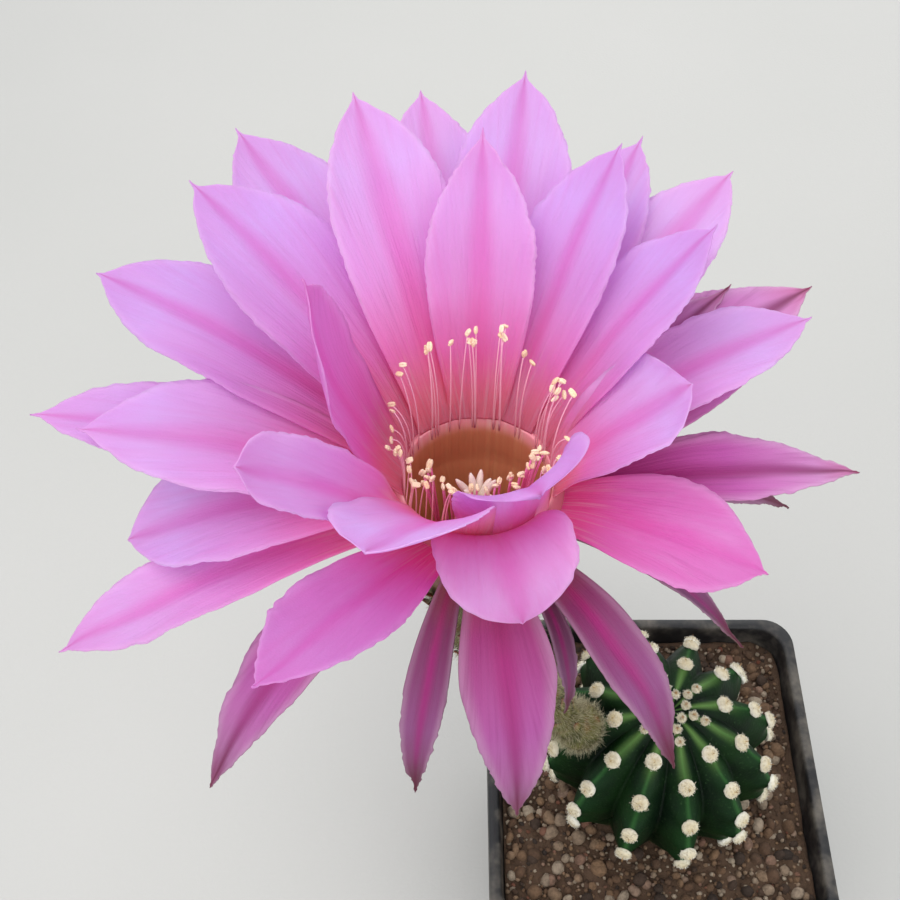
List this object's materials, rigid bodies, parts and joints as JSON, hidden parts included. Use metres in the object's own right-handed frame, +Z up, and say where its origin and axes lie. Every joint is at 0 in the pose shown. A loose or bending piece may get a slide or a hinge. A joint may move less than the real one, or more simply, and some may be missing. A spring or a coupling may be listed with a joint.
{
  "type": "potted echinopsis hybrid",
  "caption": "Ribbed globe cactus in a square nursery pot, in flower: a pink many-petalled bloom on a long hairy tube rising from the cactus's shoulder.",
  "frame": {"origin": "middle of the pot's flat underside, on the surface that the pot stands on", "axes": "+Z up, also the flower's axis; -Y towards the viewer of the picture; +X to the viewer's right; the flower leans out towards -X"},
  "size_m": [0.1898, 0.1333, 0.3022],
  "materials": {
    "pot_plastic": "black moulded nursery-pot plastic, slightly dusty",
    "potting_grit": "coarse brown gritty potting mix",
    "cactus_flesh": "firm waxy green cactus skin, lighter on the rib crests, with cream wool at the areoles",
    "hairy_tube": "olive-brown scales under soft grey-brown hair",
    "outer_tepal": "dusky mauve tepals with a dark magenta stripe and brownish tips",
    "petal": "soft lilac-pink translucent petals, hot pink to salmon at the root",
    "stamen": "pale pink filaments with cream anthers",
    "low_stamen": "pink filaments with cream anthers",
    "stigma": "pale cream style and pointed stigma lobes"
  },
  "bodies": {
    "root": {"pot": "pot_plastic", "soil": "potting_grit", "cactus_body": "cactus_flesh", "flower_tube": "hairy_tube", "outer_tepals": "outer_tepal", "petals": "petal", "ring_stamens": "stamen", "low_stamens": "low_stamen", "pistil": "stigma"}
  },
  "joints": []
}
